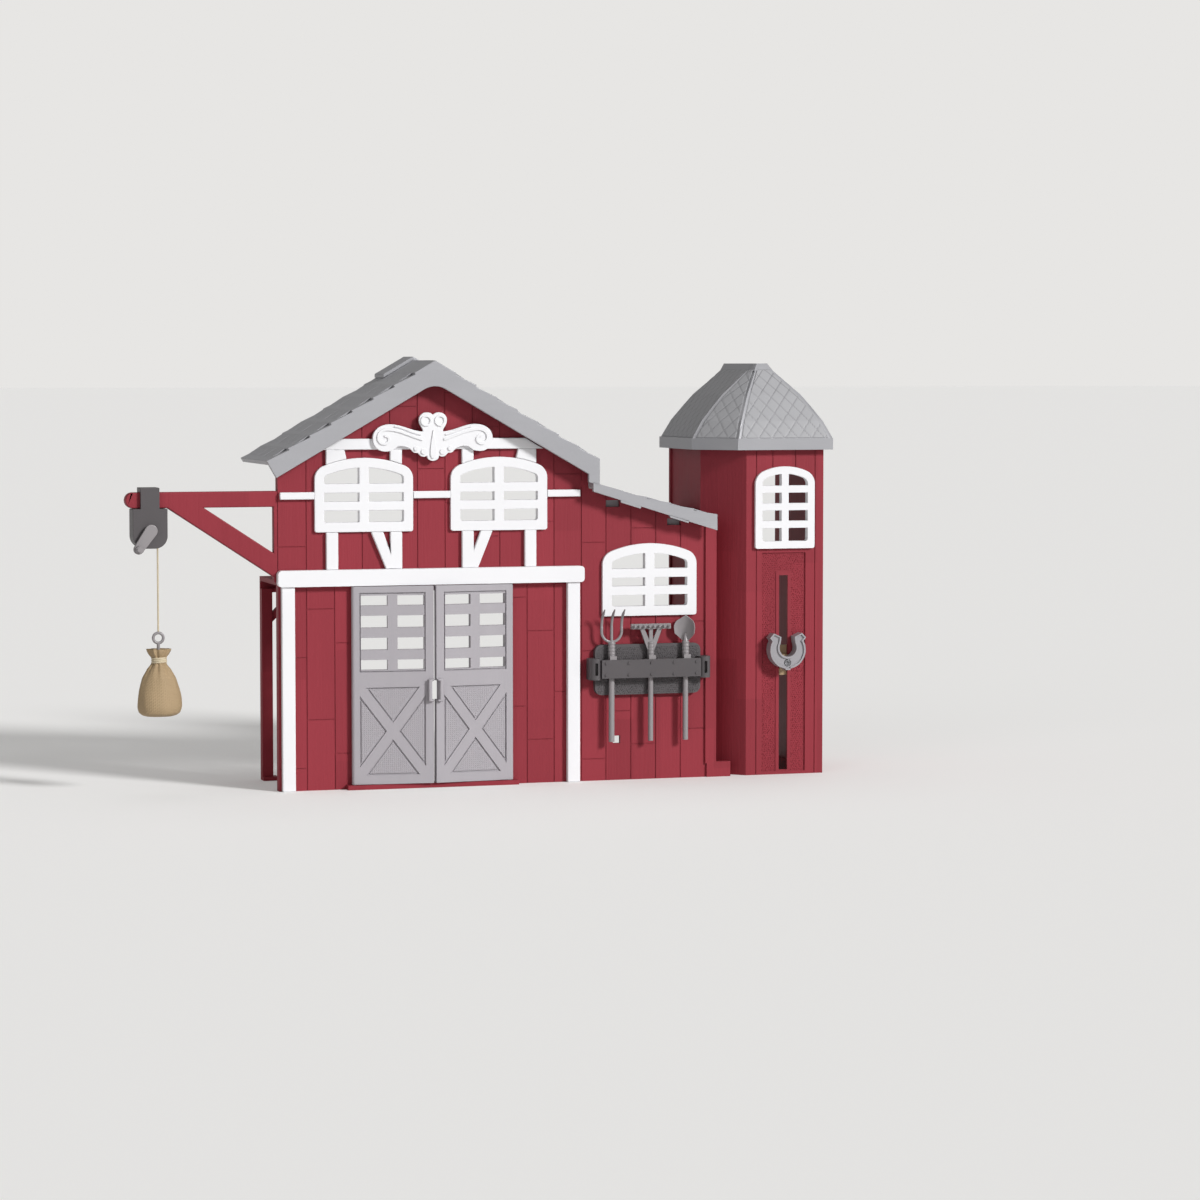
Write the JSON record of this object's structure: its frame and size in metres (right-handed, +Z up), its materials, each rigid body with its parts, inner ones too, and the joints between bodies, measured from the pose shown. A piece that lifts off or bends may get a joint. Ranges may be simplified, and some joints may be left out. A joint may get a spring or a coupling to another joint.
{
  "type": "toy barn",
  "caption": "Toy barn front with two hinged doors, arched windows, a lean-to with a tool rack, a silo with a sliding lift and a small hand-cranked crane.",
  "frame": {"origin": "centre of the whole set's bounding box at ground level", "axes": "+Z up, -Y out of the front face with the doors, +X from the crane towards the silo"},
  "size_m": [0.471, 0.1022, 0.2776],
  "materials": {
    "red": "matte moulded plank texture",
    "white": "satin moulded",
    "roof_grey": "satin moulded shingles",
    "door_grey": "satin moulded",
    "pale_grey": "satin moulded",
    "rack_grey": "satin moulded",
    "tool_grey": "satin moulded",
    "tan": "matte moulded",
    "cord": "braided",
    "screw_steel": "zinc plated"
  },
  "bodies": {
    "barn": {"front_wall": "red", "lean_wall": "red", "partition_wall": "red", "loft_floor": "red", "loft_post": "red", "main_roof": "roof_grey", "lean_roof": "roof_grey", "ridge_cap": "roof_grey", "header_beam": "white", "left_post": "white", "right_post": "white", "tie_beam": "white", "mid_rail": "white", "left_timbers": "white", "right_timbers": "white", "gable_scroll": "white", "left_loft_window": "white", "right_loft_window": "white", "lean_window": "white", "door_sill": "red", "tool_rack": "rack_grey", "silo_shell": "red", "silo_base": "red", "silo_roof": "roof_grey", "silo_window": "white", "lift_rails": "red", "crane_arm": "red", "winch_housing": "rack_grey", "hoist_rope": "cord", "wall_screws": "screw_steel"},
    "left_leaf": {"left_door": "door_grey", "left_pull": "door_grey"},
    "right_leaf": {"right_door": "door_grey", "right_pull": "door_grey"},
    "lift": {"lift_deck": "tan", "lift_slider": "tan", "lift_handle": "pale_grey", "lift_screw": "screw_steel"},
    "fork_tool": {"fork": "tool_grey"},
    "rake_tool": {"rake": "tool_grey"},
    "shovel_tool": {"shovel": "tool_grey"},
    "hoist_load": {"sack": "tan", "sack_hook": "tool_grey"},
    "winch": {"winch_drum": "tool_grey", "crank_arm": "tool_grey", "crank_knob": "tool_grey"}
  },
  "joints": [
    {"name": "left_door_hinge", "type": "hinge", "parent": "barn", "child": "left_leaf", "pos_m": [-0.0896, -0.0396, 0.065], "axis": [0, 0, -1], "range_deg": [-5, 110]},
    {"name": "right_door_hinge", "type": "hinge", "parent": "barn", "child": "right_leaf", "pos_m": [0.0136, -0.0396, 0.065], "axis": [0, 0, 1], "range_deg": [-5, 110]},
    {"name": "lift_slide", "type": "slide", "parent": "barn", "child": "lift", "axis": [0, 0, 1], "range_m": [-0.062, 0.046]},
    {"name": "fork_lift_out", "type": "slide", "parent": "barn", "child": "fork_tool", "axis": [0, 0, 1], "range_m": [0, 0.055]},
    {"name": "rake_lift_out", "type": "slide", "parent": "barn", "child": "rake_tool", "axis": [0, 0, 1], "range_m": [0, 0.055]},
    {"name": "shovel_lift_out", "type": "slide", "parent": "barn", "child": "shovel_tool", "axis": [0, 0, 1], "range_m": [0, 0.055]},
    {"name": "sack_hoist", "type": "slide", "parent": "barn", "child": "hoist_load", "axis": [0, 0, 1], "range_m": [0, 0.05], "deforming": ["hoist_rope"]},
    {"name": "winch_crank", "type": "hinge", "parent": "barn", "child": "winch", "pos_m": [-0.2205, -0.0324, 0.168], "axis": [0, -1, 0], "range_deg": [0, 508]}
  ],
  "couplings": [
    {"joint": "winch_crank", "follows": "sack_hoist", "rad_per_m": 177}
  ]
}
